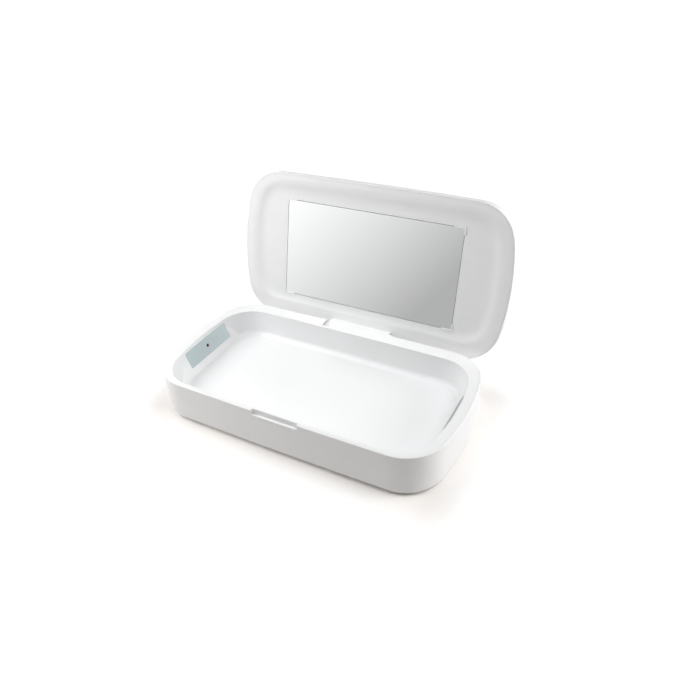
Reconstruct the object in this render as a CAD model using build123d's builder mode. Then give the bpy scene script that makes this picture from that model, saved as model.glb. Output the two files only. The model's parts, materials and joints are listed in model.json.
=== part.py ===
from build123d import *
from math import cos, radians, sin, tan
import os

# A sanitizer box for phones: a shallow tub with a tray, two ultraviolet lamps in
# the tray's ends, and a mirrored lid that swings back on a hinge sunk in the rim.
# Millimetres, +X to the right, -Y to the front, +Z up. The pieces are drawn about the
# middle of the base, on the table, with the lid closed. At the end the lid swings open
# and everything moves forward, so that the origin is under the middle of the open box.

# ---- driving dimensions: plan of the box ----
length = 224.0              # over the bowed ends
width = 119.0               # over the long sides
end_radius = 190.0          # plan radius of the bowed ends
side_radius = 4600.0        # plan radius of the almost straight long sides
corner_radius = 29.5        # plan radius of the four corners

# ---- driving dimensions: base ----
base_height = 33.0          # table to rim
foot_gap = 1.0              # table to the underside of the tub
shell_wall = 2.2
shell_floor = 2.0
bottom_radius = 4.0         # rounding round the underside
edge_round = 0.4            # softening of the tub's and lid's outer edges
edge_strip = 1.1            # width of the tub's own edge outside the tray's flange
seam_gap = 0.1              # seam round a flange
flange_thickness = 1.8

# ---- driving dimensions: tray ----
rim_front = 3.8             # rim widths, seen from above
rim_end = 7.6
rim_back = 10.6
tray_depth = 20.0
tray_slope = 12.0           # lean of the tray's walls, degrees
tray_wall = 1.5
tray_floor = 1.8
tray_round = 5.0            # hollow rounding round the tray's floor
facet_slope = 26.0          # lean of the flat end facets, degrees
facet_reach = 17.1          # from the end of the box to the foot of a facet
facet_drop = 2.2            # from the rim to the top of a facet
facet_half = 46.0           # half the length of the block behind a facet, inside the tray's wall
facet_back = 9.8            # from the end of the box to the back of that block

# ---- driving dimensions: lamp windows ----
window_length = 49.0
window_height = 13.0
window_centre = 8.7         # from the rim down to the middle of a window
window_round = 0.8
window_recess = 0.3         # from the facet to the plate
plate_thickness = 2.0
plate_margin = 1.0          # plate beyond the window, all round
plate_hole = 2.8
plate_dish = 0.3            # chamfer round the lamp's hole
led_board_length = 44.0
led_board_height = 10.0
board_thickness = 1.2
led_size = 3.5
led_height = 1.0
led_lens = 2.4
led_lens_height = 0.3
led_gap = 0.2               # round a lamp in the back of its plate

# ---- driving dimensions: finger notch and hinge ----
notch_length = 35.5
notch_height = 3.8
notch_round = 0.8
lid_open = 103.0            # rest angle of the lid, degrees from closed
axis_inset = 1.2            # hinge axis inside the back of the box
axis_drop = 9.0             # hinge axis below the rim
arm_half = 25.7             # half the length of the lid's hinge arm
arm_reach = 7.1             # radius of the arm's nose about the axis
nose_sweep = 60.0           # part of a turn that the nose covers, degrees
knuckle_radius = 2.6        # rounding about the axis at the back
cheek_length = 5.0
cheek_round = 1.2
arm_gap = 0.3               # clearance round the arm
stop_gap = 0.15             # arm to the edge of the tub when the lid is open
pin_diameter = 2.0
pin_gap = 0.05              # radial clearance round the pin

# ---- driving dimensions: lid ----
lid_height = 15.65
lid_gap = 0.35              # rim to lip when closed
lid_inset = 0.2             # the lid's plan inside the base's
lid_wall = 1.9
lid_top_round = 9.0
lip_end = 8.8               # lip widths up to the start of the dish
lip_front = 7.2
lip_back = 11.8
dish_depth = 2.0            # lip to panel
dish_slope = 17.0           # lean of the dish's side from the lip's plane, degrees
dish_round = 20.0           # hollow rounding round the panel
lip_round = 16.0            # rounding from the lip into the dish
panel_thickness = 1.5

# ---- driving dimensions: mirror ----
mirror_length = 145.5
mirror_width = 77.3
mirror_thickness = 1.8
tape_thickness = 0.5
tape_length = 130.0
tape_width = 8.0
mirror_gap = 0.15           # round the mirror in its pocket
clip_leg = 8.0              # clips along the mirror's long edges
clip_end_leg = 5.0          # and along its short edges
clip_wall = 0.8
clip_hook = 0.4             # reach of a clip over the glass
clip_face = 0.4             # thickness of that hook
clip_gap = 0.1

# ---- driving dimensions: start button ----
button_length = 14.0
button_height = 8.0
button_centre = 8.6         # height of its middle above the table
button_proud = 0.9
button_gap = 0.15
button_flange = 0.8
button_flange_lip = 0.9
button_travel = 0.7
flange_gap = 0.5            # wall to the button's inner flange
button_round = 0.4
plunger_diameter = 2.6
plunger_showing = 2.0
plunger_depth = 1.1
plunger_gap = 0.1
switch_size = 4.6
switch_depth = 3.5
switch_board_front = 10.0   # switch board in front of the button's middle
switch_board_back = 18.0    # and behind it
light_offset = 14.0
light_diameter = 2.2
light_sunk = 0.4            # end of the light pipe inside the end of the box
status_length = 1.6
status_width = 1.2
status_height = 0.8

# ---- driving dimensions: screws, feet, boards, magnets ----
foot_length = 25.0
foot_width = 12.0
foot_recess = 0.8
foot_inset_x = 26.0         # foot centres in from the ends
foot_inset_y = 18.5         # and from the front and back
foot_slack = 0.1            # round a foot in its recess
base_screw_inset = 24.0     # screws under the feet in from the front and back
boss_diameter = 9.0
boss_height = 4.0
tray_boss_diameter = 6.4
base_screw_diameter = 2.6
base_screw_head = 5.0
base_screw_head_height = 1.8
screw_gap = 0.02
head_gap = 0.2
board_length = 36.0
board_width = 41.0
board_aside = 3.0           # right edge of the main board from the hinge's left cheek
board_back = 4.5            # back edge of the board from the back of the box
board_lift = 2.0
board_boss_diameter = 5.8
board_rib = 1.4             # ribs that hold the switch board upright
rib_height = 5.0
rib_length = 3.0
board_slot_gap = 0.1
pcb_thickness = 1.6
board_screw_inset = 4.0
board_screw_diameter = 2.0
board_screw_head = 3.6
board_screw_head_height = 1.4
controller_size = 7.0
controller_height = 1.0
controller_place = 5.0      # left of the middle of the main board
inductor_size = 8.0
inductor_height = 3.6
inductor_round = 1.5
inductor_place = 7.0        # right of the middle of the main board
capacitor_length = 3.2
capacitor_width = 1.6
capacitor_height = 1.2
capacitor_step = 6.0
capacitor_row = 13.0        # in front of the middle of the main board
usb_width = 8.94
usb_height = 3.26
usb_depth = 7.4
usb_wall = 0.3
usb_tongue = 0.7
usb_back = 0.8              # solid back of the socket
usb_sunk = 0.9              # mouth of the socket inside the back face
usb_gap = 0.15
magnet_length = 10.0
magnet_width = 1.8
magnet_height = 3.0
magnet_forward = 20.0
magnet_inset = 5.3          # magnet centres in from the ends
lid_screw_diameter = 2.6
lid_screw_head = 4.6
lid_screw_head_height = 1.4
lid_screw_sink = 1.5
lid_screw_reach = 7.0
lid_boss_diameter = 7.0
lid_boss_lift = 1.7         # liner boss above the mirror's seat
boss_gap = 0.1
lid_screw_inset_x = 16.75   # outer lid screws in from the mirror's short edges
lid_screw_inset_y = 12.65   # lid screws in from its long edges
lead_diameter = 1.6
lead_bend = 2.5
plug_row = 11.5             # front plugs in front of the main board's middle
lead_inset = 5.4            # lamp leads' drop in from the ends
lead_run = 5.0              # straight run of a lead from its plug
lead_step = 6.0             # sideways step of a lead from one level or row to the next
switch_lead_y = 8.0         # where the start button's lead leaves its board
lamp_lead_y = 19.0          # where the lamps' leads leave theirs
plug_length = 5.0           # plugs for the leads, at the main board's ends
plug_width = 4.4
plug_height = 3.0
plug_gap = 1.0
sensor_place = 7.5         # lid sensor to the right of the main board's middle
sensor_size = 4.0
sensor_depth = 1.6
sensor_height = 3.0
sensor_inset = 6.0

# ---- places worked out from them ----
rim_z = base_height
shell_floor_z = foot_gap + shell_floor
ledge_z = rim_z - flange_thickness
tray_z = rim_z - tray_depth
tray_under_z = tray_z - tray_floor
lip_z = rim_z + lid_gap
lid_top_z = lip_z + lid_height
panel_z = lip_z + dish_depth
seat_z = panel_z + mirror_thickness + tape_thickness
seat_top_z = seat_z + panel_thickness
axis_y = width / 2 - axis_inset
axis_z = rim_z - axis_drop
arm_back = axis_y + knuckle_radius
arm_front = axis_y - arm_reach
pocket_half = arm_half + arm_gap
pocket_front = arm_front - arm_gap
cheek_end = pocket_half + cheek_length
hinge_axis = Axis((0, axis_y, axis_z), (1, 0, 0))


def box_outline(at_ends, at_front, at_back):
    """Plan of the box drawn in by its own amount at the ends, the front and the back.

    Four large arcs, concentric with those of the outside, cross at the corners,
    and the corners are rounded.
    """
    least = min(at_ends, at_front, at_back)
    with BuildSketch(mode=Mode.PRIVATE) as plan:
        with Locations((length / 2 - end_radius, 0)):
            Circle(end_radius - at_ends)
        with Locations((end_radius - length / 2, 0)):
            Circle(end_radius - at_ends, mode=Mode.INTERSECT)
        with Locations((0, side_radius - width / 2)):
            Circle(side_radius - at_front, mode=Mode.INTERSECT)
        with Locations((0, width / 2 - side_radius)):
            Circle(side_radius - at_back, mode=Mode.INTERSECT)
        fillet(plan.vertices(), corner_radius - least)
    return plan.sketch


def even_outline(inset):
    """Plan of the box drawn in by the same amount all round."""
    return box_outline(inset, inset, inset)


def facet_plane(side, depth):
    """Plane of an end facet, at the middle of its window and the given depth behind it."""
    centre_z = rim_z - window_centre
    facet_x = length / 2 - facet_reach + (centre_z - tray_z) * tan(radians(facet_slope))
    lean = radians(facet_slope)
    face = Plane(
        origin=(side * facet_x, 0, centre_z),
        x_dir=(0, side, 0),
        z_dir=(-side * cos(lean), 0, sin(lean)),
    )
    return face.offset(-depth)


# ---- base shell ----
# Clearing the arm's barrel, the wall behind the pocket ends where the open arm meets it.
swing = radians(lid_open)
stop_run = (axis_inset - knuckle_radius * cos(swing)) / sin(swing)
stop_z = axis_z - knuckle_radius * sin(swing) + stop_run * cos(swing) - stop_gap
foot_x = length / 2 - foot_inset_x
foot_y = width / 2 - foot_inset_y
base_screw_y = width / 2 - base_screw_inset
board_x = -cheek_end - board_aside - board_length / 2
board_y = width / 2 - board_back - board_width / 2
board_z = shell_floor_z + board_lift
board_top_z = board_z + pcb_thickness
usb_z = board_top_z + usb_height / 2
shell_inner_x = length / 2 - shell_wall
switch_x = shell_inner_x - flange_gap - button_flange - plunger_showing
switch_board_x = switch_x - switch_depth
foot_spots = GridLocations(2 * foot_x, 2 * foot_y, 2, 2)
base_screw_spots = GridLocations(2 * foot_x, 2 * base_screw_y, 2, 2)
board_hole_x = board_length / 2 - board_screw_inset
board_hole_y = board_width / 2 - board_screw_inset
board_screw_spots = Locations(
    *[(board_x + i * board_hole_x, board_y + j * board_hole_y) for i in (-1, 1) for j in (-1, 1)]
)

with BuildPart() as base_shell:
    with BuildSketch(Plane.XY.offset(foot_gap)):
        add(even_outline(0))
    extrude(amount=rim_z - foot_gap)
    fillet(base_shell.faces().sort_by(Axis.Z)[0].edges(), bottom_radius)
    fillet(base_shell.faces().sort_by(Axis.Z)[-1].edges(), edge_round)
    with BuildSketch(Plane.XY.offset(shell_floor_z)):
        add(even_outline(shell_wall))
    extrude(amount=base_height, mode=Mode.SUBTRACT)
    with BuildSketch(Plane.XY.offset(ledge_z)):
        add(even_outline(edge_strip))
    extrude(amount=base_height, mode=Mode.SUBTRACT)
    # bosses for the screws under the feet and for the main board
    with BuildSketch(Plane.XY.offset(shell_floor_z)):
        with base_screw_spots:
            Circle(boss_diameter / 2)
    extrude(amount=boss_height)
    with BuildSketch(Plane.XY.offset(shell_floor_z)):
        with board_screw_spots:
            Circle(board_boss_diameter / 2)
    extrude(amount=board_lift)
    with BuildSketch(Plane.XY.offset(shell_floor_z)):
        with board_screw_spots:
            Circle(board_screw_diameter / 2 + screw_gap)
    extrude(amount=board_lift, mode=Mode.SUBTRACT)
    with BuildSketch(Plane.XY.offset(foot_gap)):
        with foot_spots:
            SlotOverall(foot_length + 2 * foot_slack, foot_width + 2 * foot_slack, 90)
    extrude(amount=foot_recess, mode=Mode.SUBTRACT)
    with BuildSketch(Plane.XY.offset(foot_gap)):
        with base_screw_spots:
            Circle(base_screw_head / 2 + head_gap)
    extrude(amount=foot_recess + base_screw_head_height + head_gap, mode=Mode.SUBTRACT)
    with BuildSketch(Plane.XY.offset(foot_gap)):
        with base_screw_spots:
            Circle(base_screw_diameter / 2 + head_gap)
    extrude(amount=shell_floor + boss_height, mode=Mode.SUBTRACT)
    # ribs that hold the switch board upright
    with BuildSketch(Plane.XY.offset(shell_floor_z)):
        for rib_y in (-switch_board_front + rib_length / 2, switch_board_back - rib_length / 2):
            with Locations((-switch_board_x - board_slot_gap - board_rib / 2, rib_y)):
                Rectangle(board_rib, rib_length)
            with Locations((-switch_board_x + board_thickness + board_slot_gap + board_rib / 2, rib_y)):
                Rectangle(board_rib, rib_length)
    extrude(amount=rib_height)
    # finger notch: the front wall is cut down to a ledge
    with BuildSketch(Plane.XZ.offset(width / 2 - shell_wall)) as notch:
        with Locations((0, rim_z)):
            Rectangle(notch_length, 2 * notch_height)
        fillet(notch.vertices().group_by(Axis.Y)[0], notch_round)
    extrude(amount=2 * shell_wall, mode=Mode.SUBTRACT)
    # pocket for the lid's arm, open to the back
    with BuildSketch(Plane.XY.offset(stop_z)):
        with Locations((0, width / 2)):
            Rectangle(2 * pocket_half, 4 * shell_wall)
    extrude(amount=base_height, mode=Mode.SUBTRACT)
    # cheeks: a rib to the floor, and a pad round the axis, proud of the back
    for side in (1, -1):
        with BuildSketch(Plane.YZ.offset(side * (pocket_half + cheek_length / 2))):
            with BuildLine():
                Polyline(
                    (pocket_front + arm_gap, shell_floor_z),
                    (width / 2 - shell_wall / 2, shell_floor_z),
                    (width / 2 - shell_wall / 2, ledge_z),
                    (pocket_front + arm_gap, ledge_z),
                    close=True,
                )
            make_face()
        extrude(amount=cheek_length / 2, both=True)
        with BuildSketch(Plane.YZ.offset(side * (pocket_half + cheek_length / 2))) as pad:
            with Locations((axis_y, axis_z)):
                Circle(knuckle_radius)
            with Locations((arm_back - knuckle_radius / 2, (axis_z + rim_z) / 2)):
                Rectangle(knuckle_radius, rim_z - axis_z)
            fillet(pad.vertices().sort_by(Axis.X)[-2:].sort_by(Axis.Y)[-1], cheek_round)
        extrude(amount=cheek_length / 2, both=True)
        # slot that the pin drops into
        with BuildSketch(Plane.YZ.offset(side * (pocket_half + cheek_length / 2))):
            with Locations((axis_y, axis_z)):
                Circle(pin_diameter / 2 + pin_gap)
            with Locations((axis_y, (axis_z + rim_z) / 2)):
                Rectangle(pin_diameter + 2 * pin_gap, rim_z - axis_z)
        extrude(amount=cheek_length / 2 + pin_gap, both=True, mode=Mode.SUBTRACT)
    # mouth of the power inlet
    with BuildSketch(Plane.XZ.offset(-width / 2 - shell_wall)):
        with Locations((board_x, usb_z)):
            SlotOverall(usb_width + 2 * usb_gap, usb_height + 2 * usb_gap)
    extrude(amount=3 * shell_wall, mode=Mode.SUBTRACT)
    # holes for the start button and its light
    with BuildSketch(Plane.YZ.offset(-length / 2 - shell_wall)):
        with Locations((0, button_centre)):
            SlotOverall(button_length + 2 * button_gap, button_height + 2 * button_gap)
        with Locations((light_offset, button_centre)):
            Circle(light_diameter / 2 + screw_gap)
    extrude(amount=3 * shell_wall, mode=Mode.SUBTRACT)
base_shell.part.label = "base_shell"

# ---- tray liner ----
with BuildPart() as tray_space:
    with BuildSketch(Plane.XY.offset(rim_z)):
        add(box_outline(rim_end, rim_front, rim_back))
    extrude(amount=-tray_depth, taper=tray_slope)
    fillet(tray_space.faces().sort_by(Axis.Z)[0].edges(), tray_round)

facet_foot_x = length / 2 - facet_reach
facet_top_x = facet_foot_x + (tray_depth - facet_drop) * tan(radians(facet_slope))
rim_edge_x = length / 2 - rim_end
pocket_length = window_length + 2 * plate_margin + 2 * seam_gap
pocket_height = window_height + 2 * plate_margin + 2 * seam_gap

with BuildPart() as facet_blocks:
    with BuildSketch(Plane.XY.offset(rim_z)):
        add(box_outline(rim_end - tray_wall, rim_front - tray_wall, rim_back - tray_wall))
    extrude(amount=-(tray_depth + tray_floor))
    with BuildSketch(Plane.XZ):
        for side in (1, -1):
            with BuildLine():
                Polyline(
                    (side * facet_foot_x, tray_z),
                    (side * facet_top_x, rim_z - facet_drop),
                    (side * rim_edge_x, rim_z - 2 * edge_round),
                    (side * (rim_edge_x + tray_wall / 2), rim_z - 2 * edge_round),
                    (side * (rim_edge_x + tray_wall / 2), rim_z - window_centre),
                    (side * (length / 2 - facet_back), tray_under_z),
                    (side * facet_foot_x, tray_under_z),
                    close=True,
                )
            make_face()
    extrude(amount=facet_half, both=True, mode=Mode.INTERSECT)

with BuildPart() as tray_liner:
    with BuildSketch(Plane.XY.offset(rim_z)):
        add(box_outline(rim_end - tray_wall, rim_front - tray_wall, rim_back - tray_wall))
    extrude(amount=-(tray_depth + tray_floor), taper=tray_slope)
    with BuildSketch(Plane.XY.offset(ledge_z)):
        add(even_outline(edge_strip + seam_gap))
    extrude(amount=flange_thickness)
    # bosses for the screws from below
    with BuildSketch(Plane.XY.offset(shell_floor_z + boss_height + boss_gap)):
        with base_screw_spots:
            Circle(tray_boss_diameter / 2)
    extrude(until=Until.NEXT)
    add(tray_space.part, mode=Mode.SUBTRACT)
    fillet(tray_liner.faces().sort_by(Axis.Z)[-1].inner_wires()[0].edges(), edge_round)
    # flat facets across the bowed ends
    add(facet_blocks.part)
    # windows, and pockets for the plates behind them
    for side in (1, -1):
        with BuildSketch(facet_plane(side, window_recess)):
            RectangleRounded(window_length, window_height, window_round)
        extrude(amount=window_recess + tray_wall, mode=Mode.SUBTRACT)
        with BuildSketch(facet_plane(side, window_recess)):
            Rectangle(pocket_length, pocket_height)
        extrude(amount=-(facet_reach - facet_back + shell_wall), mode=Mode.SUBTRACT)
    # bores for the screws from below
    with BuildSketch(Plane.XY.offset(shell_floor_z + boss_height)):
        with base_screw_spots:
            Circle(base_screw_diameter / 2 + screw_gap)
    extrude(amount=tray_under_z + tray_floor / 2 - shell_floor_z - boss_height, mode=Mode.SUBTRACT)
    # the flange stops short of the finger notch and of the lid's arm
    with BuildSketch(Plane.XY.offset(tray_under_z)):
        with Locations((0, -width / 2)):
            Rectangle(notch_length, 2 * shell_wall)
        with Locations((0, pocket_front + width / 2)):
            Rectangle(2 * pocket_half, width)
    extrude(amount=base_height, mode=Mode.SUBTRACT)
    # fingers that close the slots over the hinge pin
    with BuildSketch(Plane.XY.offset(axis_z + pin_diameter / 2 + pin_gap)):
        for side in (1, -1):
            with Locations((side * (pocket_half + cheek_length / 2), axis_y)):
                Rectangle(cheek_length - 2 * seam_gap, pin_diameter)
    extrude(amount=rim_z - axis_z - pin_diameter / 2 - pin_gap)
tray_liner.part.label = "tray_liner"

# ---- lamps ----
plate_back = window_recess + plate_thickness
board_behind = plate_back + board_thickness
lamp_parts = []
for side, hand in ((-1, "left"), (1, "right")):
    with BuildPart() as led_plate:
        with BuildSketch(facet_plane(side, plate_back)):
            Rectangle(window_length + 2 * plate_margin, window_height + 2 * plate_margin)
        extrude(amount=plate_thickness)
        with BuildSketch(facet_plane(side, plate_back)):
            Rectangle(led_size + 2 * led_gap, led_size + 2 * led_gap)
        extrude(amount=led_height + led_lens_height + led_gap, mode=Mode.SUBTRACT)
        with BuildSketch(facet_plane(side, plate_back)):
            Circle(plate_hole / 2)
        extrude(amount=plate_thickness, mode=Mode.SUBTRACT)
        rims = led_plate.edges().filter_by(GeomType.CIRCLE).sort_by(Axis((0, 0, 0), (-side, 0, 0)))
        chamfer(rims[-1], plate_dish)
    led_plate.part.label = "led_plate_" + hand

    with BuildPart() as led_board:
        with BuildSketch(facet_plane(side, board_behind)):
            Rectangle(led_board_length, led_board_height)
        extrude(amount=board_thickness)
    led_board.part.label = "led_board_" + hand

    with BuildPart() as uvc_led:
        with BuildSketch(facet_plane(side, plate_back)):
            Rectangle(led_size, led_size)
        extrude(amount=led_height)
        with BuildSketch(facet_plane(side, plate_back - led_height)):
            Circle(led_lens / 2)
        extrude(amount=led_lens_height)
        fillet(
            uvc_led.edges().filter_by(GeomType.CIRCLE).sort_by(Axis((0, 0, 0), (-side, 0, 0)))[-1],
            led_lens_height / 2,
        )
    uvc_led.part.label = "uvc_led_" + hand
    lamp_parts += [led_plate, led_board, uvc_led]

# ---- feet and base screws ----
with BuildPart() as rubber_feet:
    with BuildSketch(Plane.XY):
        with foot_spots:
            SlotOverall(foot_length, foot_width, 90)
    extrude(amount=foot_gap + foot_recess)
    fillet(rubber_feet.edges().group_by(Axis.Z)[0], edge_round)
rubber_feet.part.label = "rubber_feet"

head_top_z = foot_gap + foot_recess + head_gap + base_screw_head_height
with BuildPart() as base_screws:
    with BuildSketch(Plane.XY.offset(head_top_z - base_screw_head_height)):
        with base_screw_spots:
            Circle(base_screw_head / 2)
    extrude(amount=base_screw_head_height)
    with BuildSketch(Plane.XY.offset(head_top_z)):
        with base_screw_spots:
            Circle(base_screw_diameter / 2)
    extrude(amount=tray_under_z - head_top_z)
base_screws.part.label = "base_screws"

# ---- main board ----
with BuildPart() as main_board:
    with BuildSketch(Plane.XY.offset(board_z)):
        with Locations((board_x, board_y)):
            Rectangle(board_length, board_width)
        with board_screw_spots:
            Circle(board_screw_diameter / 2 + head_gap, mode=Mode.SUBTRACT)
    extrude(amount=pcb_thickness)
main_board.part.label = "main_board"

with BuildPart() as board_screws:
    with BuildSketch(Plane.XY.offset(board_top_z)):
        with board_screw_spots:
            Circle(board_screw_head / 2)
    extrude(amount=board_screw_head_height)
    with BuildSketch(Plane.XY.offset(shell_floor_z)):
        with board_screw_spots:
            Circle(board_screw_diameter / 2)
    extrude(amount=board_top_z - shell_floor_z)
board_screws.part.label = "board_screws"

# the plugs for the leads stand at the board's left and right edges
lead_z = board_top_z + plug_height / 2
floor_lead_z = shell_floor_z + lead_diameter / 2 + seam_gap
board_left_x = board_x - board_length / 2
board_right_x = board_x + board_length / 2
lead_row = board_y - plug_row
back_plug_y = lead_row + plug_width + plug_gap
with BuildPart() as board_parts:
    with BuildSketch(Plane.XY.offset(board_top_z)):
        for plug_x, plug_y in (
            (board_left_x + plug_length / 2, lead_row),
            (board_left_x + plug_length / 2, back_plug_y),
            (board_right_x - plug_length / 2, lead_row),
        ):
            with Locations((plug_x, plug_y)):
                Rectangle(plug_length, plug_width)
    extrude(amount=plug_height)
    # controller, inductor and a row of capacitors
    with BuildSketch(Plane.XY.offset(board_top_z)):
        with Locations((board_x - controller_place, board_y)):
            Rectangle(controller_size, controller_size)
    extrude(amount=controller_height)
    with BuildSketch(Plane.XY.offset(board_top_z)):
        with Locations((board_x + inductor_place, board_y)):
            RectangleRounded(inductor_size, inductor_size, inductor_round)
    extrude(amount=inductor_height)
    with BuildSketch(Plane.XY.offset(board_top_z)):
        with Locations((board_x, board_y - capacitor_row)):
            with GridLocations(capacitor_step, 1, 4, 1):
                Rectangle(capacitor_length, capacitor_width)
    extrude(amount=capacitor_height)
board_parts.part.label = "board_parts"

with BuildPart() as usb_socket:
    with BuildSketch(Plane.XZ.offset(usb_sunk - width / 2)):
        with Locations((board_x, usb_z)):
            SlotOverall(usb_width, usb_height)
    extrude(amount=usb_depth)
    with BuildSketch(Plane.XZ.offset(usb_sunk - width / 2)):
        with Locations((board_x, usb_z)):
            SlotOverall(usb_width - 2 * usb_wall, usb_height - 2 * usb_wall)
            Rectangle(usb_width - usb_height, usb_tongue, mode=Mode.SUBTRACT)
    extrude(amount=usb_depth - usb_back, mode=Mode.SUBTRACT)
usb_socket.part.label = "usb_socket"

# ---- start button and its switch ----
flange_x = shell_inner_x - flange_gap
with BuildPart() as start_button:
    with BuildSketch(Plane.YZ.offset(-length / 2 - button_proud)):
        with Locations((0, button_centre)):
            SlotOverall(button_length, button_height)
    extrude(amount=length / 2 + button_proud - flange_x)
    fillet(start_button.faces().sort_by(Axis.X)[0].edges(), button_round)
    with BuildSketch(Plane.YZ.offset(-flange_x)):
        with Locations((0, button_centre)):
            SlotOverall(button_length + 2 * button_flange_lip, button_height + 2 * button_flange_lip)
    extrude(amount=button_flange)
start_button.part.label = "start_button"

with BuildPart() as switch_plunger:
    with BuildSketch(Plane.YZ.offset(button_flange - flange_x)):
        with Locations((0, button_centre)):
            Circle(plunger_diameter / 2)
    extrude(amount=plunger_showing + plunger_depth)
switch_plunger.part.label = "switch_plunger"

with BuildPart() as tact_switch:
    with BuildSketch(Plane.YZ.offset(-switch_x)):
        with Locations((0, button_centre)):
            Rectangle(switch_size, switch_size)
    extrude(amount=switch_depth)
    with BuildSketch(Plane.YZ.offset(-switch_x)):
        with Locations((0, button_centre)):
            Circle(plunger_diameter / 2 + plunger_gap)
    extrude(amount=plunger_depth + button_travel + plunger_gap, mode=Mode.SUBTRACT)
tact_switch.part.label = "tact_switch"

switch_board_top_z = tray_under_z - arm_gap
with BuildPart() as switch_board:
    with BuildSketch(Plane.YZ.offset(-switch_board_x)):
        with Locations(
            (
                (switch_board_back - switch_board_front) / 2,
                (shell_floor_z + switch_board_top_z) / 2,
            )
        ):
            Rectangle(switch_board_front + switch_board_back, switch_board_top_z - shell_floor_z)
    extrude(amount=board_thickness)
switch_board.part.label = "switch_board"

with BuildPart() as status_light:
    with BuildSketch(Plane.YZ.offset(-switch_board_x - status_height)):
        with Locations((light_offset, button_centre)):
            Rectangle(status_length, status_width)
    extrude(amount=status_height)
status_light.part.label = "status_light"

with BuildPart() as light_pipe:
    with BuildSketch(Plane.YZ.offset(-length / 2 + light_sunk)):
        with Locations((light_offset, button_centre)):
            Circle(light_diameter / 2)
    extrude(amount=length / 2 - light_sunk - switch_board_x - status_height - seam_gap)
light_pipe.part.label = "light_pipe"

# ---- lid sensor and magnets ----
sensor_x = board_x + sensor_place
sensor_y = width / 2 - sensor_inset
with BuildPart() as lid_sensor:
    with BuildSketch(Plane.XY.offset(ledge_z - sensor_height)):
        with Locations((sensor_x, sensor_y)):
            Rectangle(sensor_size, sensor_depth)
    extrude(amount=sensor_height)
lid_sensor.part.label = "lid_sensor"

magnet_x = length / 2 - magnet_inset
with BuildPart() as base_magnets:
    with BuildSketch(Plane.XY.offset(ledge_z - magnet_height)):
        with Locations((magnet_x, -magnet_forward), (-magnet_x, -magnet_forward)):
            Rectangle(magnet_width, magnet_length)
    extrude(amount=magnet_height)
base_magnets.part.label = "base_magnets"

# ---- hinge pin ----
with BuildPart() as hinge_pin:
    with BuildSketch(Plane.YZ.offset(seam_gap - cheek_end)):
        with Locations((axis_y, axis_z)):
            Circle(pin_diameter / 2)
    extrude(amount=2 * (cheek_end - seam_gap))
hinge_pin.part.label = "hinge_pin"


# ---- leads inside the base ----
def lead(*points):
    """A round lead through the given points, bent with an even radius."""
    with BuildPart() as wire:
        with BuildLine():
            route = FilletPolyline(*points, radius=lead_bend)
        with BuildSketch(Plane(origin=route @ 0, z_dir=route % 0)):
            Circle(lead_diameter / 2)
        sweep()
    return wire


# Each lamp's lead leaves the back of its board square to it, then drops beside the wall.
drop_x = length / 2 - lead_inset
lead_turn = drop_x - facet_plane(1, board_behind).origin.X
lead_start_z = facet_plane(1, board_behind).origin.Z
lead_turn_z = lead_start_z - lead_turn * tan(radians(facet_slope))
start_x = facet_plane(1, board_behind).origin.X

led_lead_left = lead(
    (-start_x, lamp_lead_y, lead_start_z),
    (-drop_x, lamp_lead_y, lead_turn_z),
    (-drop_x, lamp_lead_y, floor_lead_z),
    (board_left_x - lead_run - lead_step, lamp_lead_y, floor_lead_z),
    (board_left_x - lead_run, back_plug_y, lead_z),
    (board_left_x, back_plug_y, lead_z),
)
led_lead_left.part.label = "led_lead_left"

led_lead_right = lead(
    (start_x, lamp_lead_y, lead_start_z),
    (drop_x, lamp_lead_y, lead_turn_z),
    (drop_x, lamp_lead_y, floor_lead_z),
    (board_right_x + lead_run + lead_step, lamp_lead_y, floor_lead_z),
    (board_right_x + lead_run, lead_row, lead_z),
    (board_right_x, lead_row, lead_z),
)
led_lead_right.part.label = "led_lead_right"

switch_lead = lead(
    (board_thickness - switch_board_x, switch_lead_y, lead_z),
    (board_thickness - switch_board_x + lead_run, switch_lead_y, lead_z),
    (board_left_x - lead_run, lead_row, lead_z),
    (board_left_x, lead_row, lead_z),
)
switch_lead.part.label = "switch_lead"

with BuildPart() as sensor_lead:
    with BuildSketch(Plane.XY.offset(board_top_z)):
        with Locations((sensor_x, sensor_y)):
            Circle(sensor_depth / 2)
    extrude(amount=ledge_z - sensor_height - board_top_z)
sensor_lead.part.label = "sensor_lead"

# ---- lid shell, drawn closed ----
lid_screw_spread = mirror_length / 2 - lid_screw_inset_x
lid_screw_row = mirror_width / 2 - lid_screw_inset_y
lid_screw_spots = GridLocations(lid_screw_spread, 2 * lid_screw_row, 3, 2)
seat_margin = clip_gap + clip_wall + seam_gap
lid_inner = lid_inset + lid_wall
liner_boss_z = seat_top_z + lid_boss_lift

with BuildPart() as lid_space:
    with BuildSketch(Plane.XY.offset(lip_z - lid_gap)):
        add(even_outline(lid_inner))
    extrude(amount=lid_height + lid_gap - lid_wall)
    fillet(lid_space.faces().sort_by(Axis.Z)[-1].edges(), lid_top_round - lid_wall)

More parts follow.
